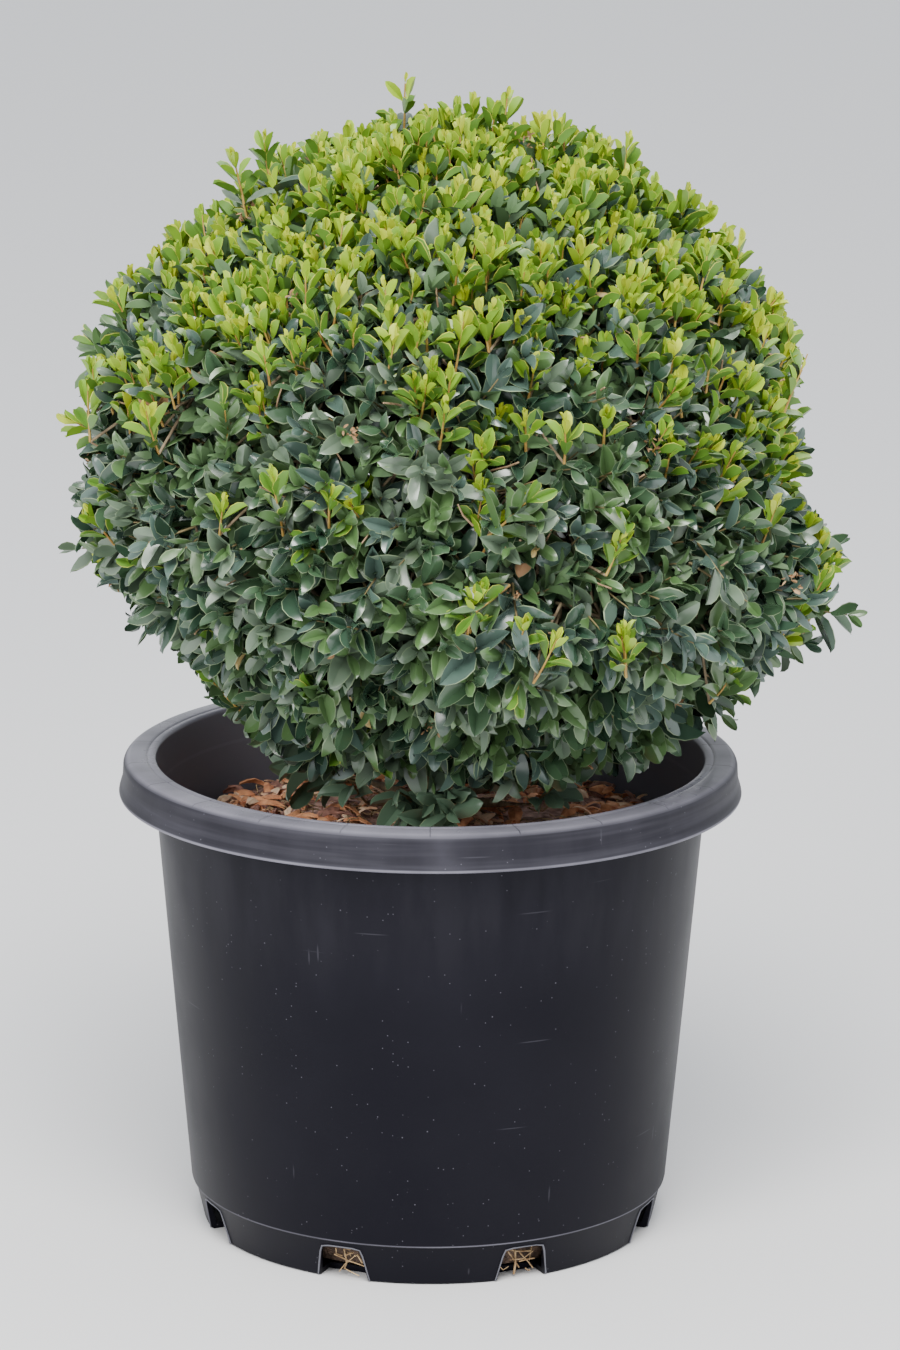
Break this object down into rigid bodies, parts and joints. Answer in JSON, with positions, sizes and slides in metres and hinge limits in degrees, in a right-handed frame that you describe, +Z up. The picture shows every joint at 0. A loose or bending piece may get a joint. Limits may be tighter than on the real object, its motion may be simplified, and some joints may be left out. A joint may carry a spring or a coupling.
{
  "type": "box topiary ball in a plastic nursery pot",
  "caption": "Clipped round evergreen box shrub with dense small leaves, standing on a short stem in a black round tapered plastic nursery pot with a rolled rim.",
  "frame": {"origin": "centre of the pot's flat underside, on the pot's own axis", "axes": "+Z up along the pot's axis, +X to the right and +Y away from the viewer when it is seen as in the picture"},
  "size_m": [0.3847, 0.3425, 0.558],
  "materials": {
    "pot": "black polypropylene with a soft sheen",
    "potting_mix": "dark bark potting mix",
    "bark": "rough pale brown bark",
    "fresh_foliage": "small waxy leaves, yellow-green to deep green",
    "dark_foliage": "small waxy leaves, deep green"
  },
  "bodies": {
    "root": {"pot": "pot", "potting_mix": "potting_mix", "trunk": "bark", "bough_1": "bark", "bough_2": "bark", "bough_3": "bark", "bough_4": "bark", "low_bough_1": "bark", "low_bough_2": "bark", "low_bough_3": "bark", "low_bough_4": "bark", "low_bough_5": "bark", "low_bough_6": "bark", "foliage_ball": "fresh_foliage", "low_spray_1": "dark_foliage", "low_spray_2": "dark_foliage", "low_spray_3": "dark_foliage", "low_spray_4": "dark_foliage", "low_spray_5": "dark_foliage", "low_spray_6": "dark_foliage"}
  },
  "joints": []
}
